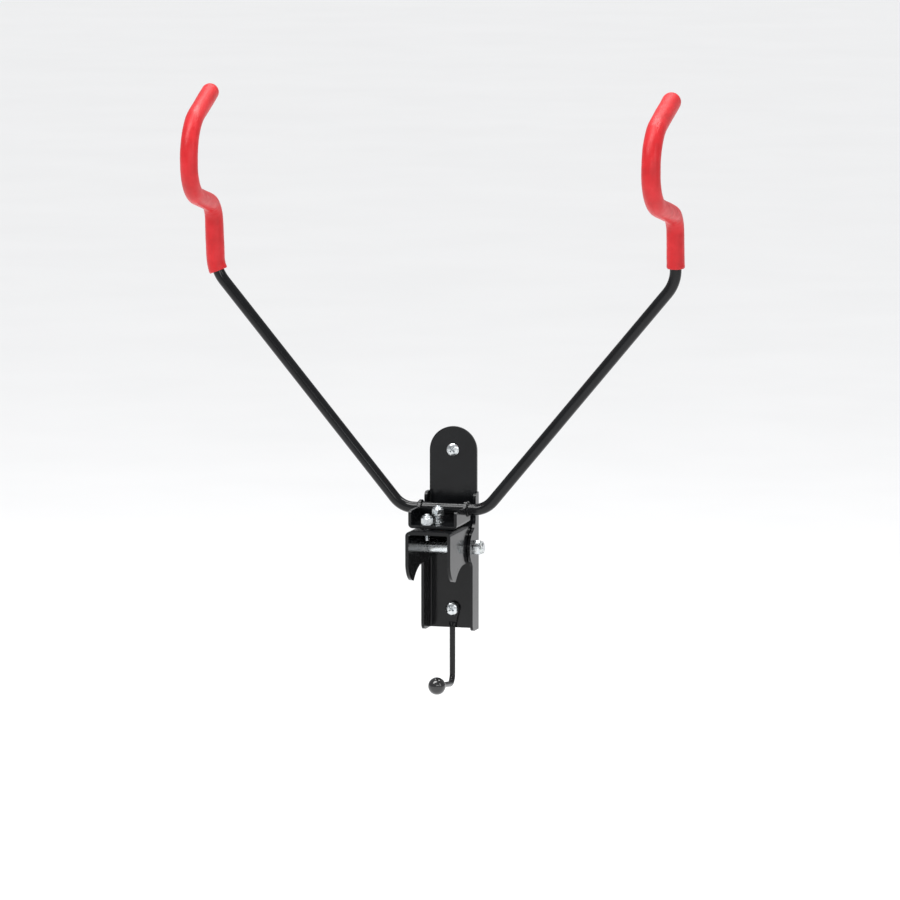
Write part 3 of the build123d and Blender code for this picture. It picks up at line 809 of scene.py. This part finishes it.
low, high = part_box("wall_screws")
screw_meshes = []
for screw_z, seat in (
    (high.z - SCREW_HEAD_RADIUS, PLATE_THICKNESS),
    (low.z + SCREW_HEAD_RADIUS, PLATE_THICKNESS + EYE_THICKNESS),
):
    head_top = Vector((0, -seat - SCREW_HEAD_HEIGHT, screw_z))
    screw_meshes.append(
        lathe("screw", head_top, INWARD, wall_screw_rows(seat), HEAD_SEGMENTS, closed=False)
    )
mesh = joined("wall_screw_pair", *screw_meshes)
finish_piece("wall_screw_pair", mesh, "wall", "zinc", "wall_screws")

# ---------------------------------------------------------------- hook's ball

low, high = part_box("accessory_ball")
ball_centre = (low + high) / 2
hook_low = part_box("accessory_hook")[0]
wire_foot = Vector((0, -PLATE_THICKNESS - WIRE_RADIUS, hook_low.z + WIRE_RADIUS))
ball_axis = (ball_centre - wire_foot).normalized()


def ball_rows(_):
    """Moulded ball with a flat mouth round the wire and a fine parting line."""
    mouth = math.asin((WIRE_RADIUS + 0.0007) / BALL_RADIUS)
    rows = [
        (WIRE_RADIUS - 0.0002, -BALL_RADIUS * 0.55),
        (WIRE_RADIUS - 0.0002, -BALL_RADIUS * math.cos(mouth) + 0.0002),
        (WIRE_RADIUS + 0.0003, -BALL_RADIUS * math.cos(mouth)),
    ]
    for k in range(41):
        angle = mouth + (math.pi * 0.985 - mouth) * k / 40
        line = 0.00007 * math.exp(-((angle - math.pi / 2) / 0.03) ** 2)
        radius = BALL_RADIUS - 0.00007 + line
        rows.append((radius * math.sin(angle), -radius * math.cos(angle)))
    return rows


mesh = lathe("ball", ball_centre, ball_axis, ball_rows, BALL_SEGMENTS, closed=False)
finish_piece("hook_ball", mesh, "wall", "black_ball", "accessory_ball")

# ---------------------------------------------------------------- studio

FLOOR_DROP = 0.22
FLOOR_HALF = 90.0
floor_z = cad_box[0][2] - FLOOR_DROP
floor_mesh = bpy.data.meshes.new("studio_floor")
floor_mesh.from_pydata(
    [(x * FLOOR_HALF, y * FLOOR_HALF, floor_z) for x, y in ((-1, -1), (1, -1), (1, 1), (-1, 1))],
    [], [(0, 1, 2, 3)],
)
floor = bpy.data.objects.new("studio_floor", floor_mesh)
floor_mesh.materials.append(studio_floor())
bpy.context.scene.collection.objects.link(floor)

world = bpy.data.worlds.new("studio")
world.use_nodes = True
world.node_tree.nodes["Background"].inputs["Color"].default_value = (0.97, 0.98, 1.0, 1.0)
world.node_tree.nodes["Background"].inputs["Strength"].default_value = 0.45
bpy.context.scene.world = world


def softbox(name, place, aim, width, height, power):
    """A rectangular area light, sizes in metres and power in watts."""
    data = bpy.data.lights.new(name, "AREA")
    data.shape = "RECTANGLE"
    data.size, data.size_y, data.energy = width, height, power
    lamp = bpy.data.objects.new(name, data)
    bpy.context.scene.collection.objects.link(lamp)
    lamp.location = place
    lamp.rotation_mode = "QUATERNION"
    lamp.rotation_quaternion = (Vector(aim) - Vector(place)).to_track_quat("-Z", "Y")


softbox("key", (-1.3, -1.7, 2.0), (0, 0, 0.1), 1.0, 0.8, 26)
softbox("right_fill", (1.9, -1.0, 0.8), (0, 0, 0.1), 0.5, 1.4, 8)
softbox("front_fill", (1.1, -2.4, 0.7), (0, 0, 0), 1.5, 0.5, 10)
softbox("top_strip", (0.1, 0.5, 1.8), (0, -0.05, 0.1), 1.6, 0.4, 26)

sky = bpy.data.lights.new("overhead", "SUN")
sky.energy = 2.0
sky.angle = math.radians(30)
overhead = bpy.data.objects.new("overhead", sky)
bpy.context.scene.collection.objects.link(overhead)
overhead.rotation_mode = "QUATERNION"
overhead.rotation_quaternion = Vector((0.18, 0.4, -1.0)).to_track_quat("-Z", "Y")
bpy.context.scene.view_settings.view_transform = "Standard"

VIEW_AZIMUTH, VIEW_ELEVATION = math.radians(15.5), math.radians(7.5)
VIEW_DISTANCE = 5.6
LENS = 260
CLIP_END = 250
target = Vector((-0.0036, 0, 0.068))
back = Vector((
    math.sin(VIEW_AZIMUTH) * math.cos(VIEW_ELEVATION),
    -math.cos(VIEW_AZIMUTH) * math.cos(VIEW_ELEVATION),
    math.sin(VIEW_ELEVATION),
))
camera = bpy.data.objects.new("camera", bpy.data.cameras.new("camera"))
bpy.context.scene.collection.objects.link(camera)
camera.data.lens = LENS
camera.data.clip_end = CLIP_END
camera.location = target + back * VIEW_DISTANCE
camera.rotation_mode = "QUATERNION"
camera.rotation_quaternion = (-back).to_track_quat("-Z", "Y")
bpy.context.scene.camera = camera
